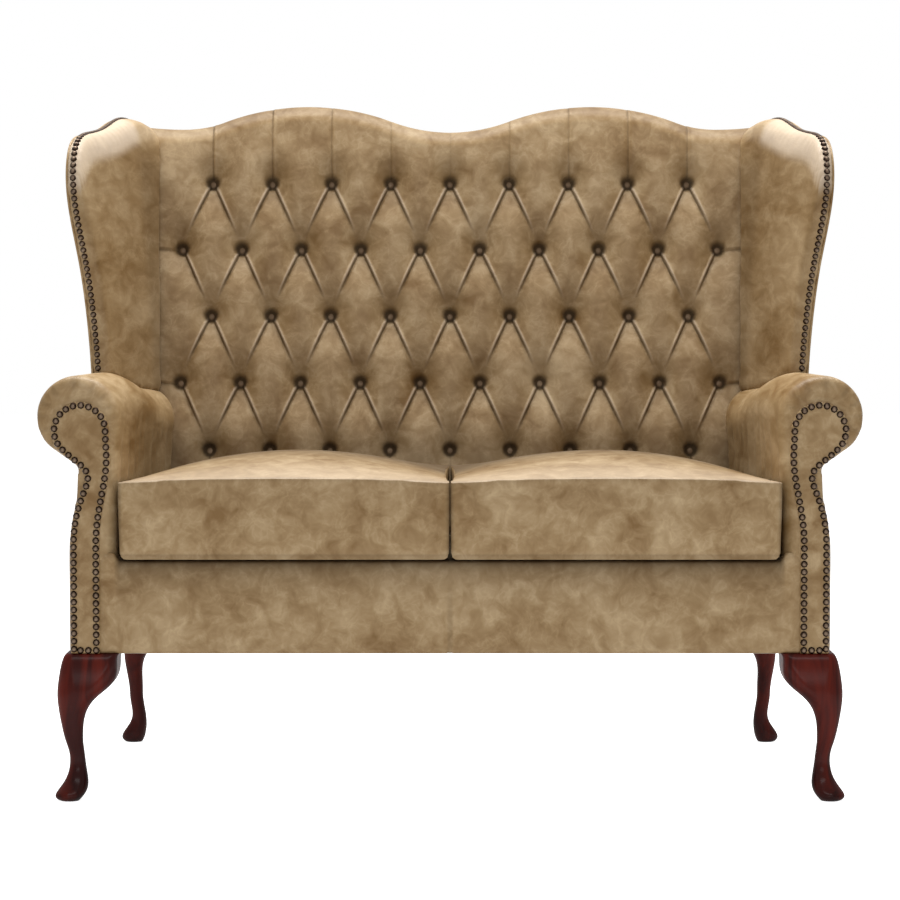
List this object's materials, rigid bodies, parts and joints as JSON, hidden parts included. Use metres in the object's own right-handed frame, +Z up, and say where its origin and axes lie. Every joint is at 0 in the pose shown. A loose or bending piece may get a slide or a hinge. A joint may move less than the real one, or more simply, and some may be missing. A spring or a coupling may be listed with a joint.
{
  "type": "chesterfield sofa",
  "caption": "High-back chesterfield sofa with a buttoned double-hump back, padded wings, scroll arms with nailed facings, loose seat cushions and cabriole legs.",
  "frame": {"origin": "on the floor under the middle of the sofa's bounding box", "axes": "+X along the width, to the right of someone facing the sofa; the sofa faces -Y; +Z up. Left and right in the names are as seen from the front."},
  "size_m": [1.2588, 0.8246, 1.1039],
  "materials": {
    "leather": "antiqued semi-aniline leather, satin",
    "button_leather": "leather-covered button",
    "mahogany": "polished dark mahogany stain",
    "antique_brass": "antiqued, darkened",
    "beech": "sawn, unfinished",
    "steel": "bright drawn",
    "cloth": "woven, matt",
    "foam": "open-cell foam",
    "zip_brass": "satin"
  },
  "bodies": {
    "sofa": {"back_buttons": "button_leather", "back_centre_stile": "beech", "back_stay_rail": "beech", "back_top_rail": "beech", "back_webbing": "cloth", "centre_seat_rail": "beech", "corner_blocks": "beech", "dust_cover": "cloth", "front_border": "leather", "front_seat_rail": "beech", "inside_back_cover": "leather", "inside_back_foam": "foam", "left_arm_cover": "leather", "left_arm_facing": "leather", "left_arm_front_post": "beech", "left_arm_nails": "antique_brass", "left_arm_pad": "foam", "left_arm_rail": "beech", "left_back_post": "beech", "left_front_leg": "mahogany", "left_outside_arm_panel": "leather", "left_outside_wing_panel": "leather", "left_rear_leg": "mahogany", "left_side_seat_rail": "beech", "left_wing_board": "beech", "left_wing_cover": "leather", "left_wing_nails": "antique_brass", "leg_bolts": "steel", "leg_nuts": "steel", "outside_back_panel": "leather", "rear_seat_rail": "beech", "right_arm_cover": "leather", "right_arm_facing": "leather", "right_arm_front_post": "beech", "right_arm_nails": "antique_brass", "right_arm_pad": "foam", "right_arm_rail": "beech", "right_back_post": "beech", "right_front_leg": "mahogany", "right_outside_arm_panel": "leather", "right_outside_wing_panel": "leather", "right_rear_leg": "mahogany", "right_side_seat_rail": "beech", "right_wing_board": "beech", "right_wing_cover": "leather", "right_wing_nails": "antique_brass", "seat_deck": "cloth", "seat_springs": "steel", "spring_clips": "steel"},
    "left_cushion": {"left_cushion_cover": "leather", "left_cushion_core": "foam", "left_cushion_zip": "zip_brass"},
    "right_cushion": {"right_cushion_cover": "leather", "right_cushion_core": "foam", "right_cushion_zip": "zip_brass"}
  },
  "joints": [
    {"name": "left_cushion_lift", "type": "slide", "parent": "sofa", "child": "left_cushion", "axis": [0, 0, 1], "range_m": [0, 0.3]},
    {"name": "right_cushion_lift", "type": "slide", "parent": "sofa", "child": "right_cushion", "axis": [0, 0, 1], "range_m": [0, 0.3]}
  ]
}
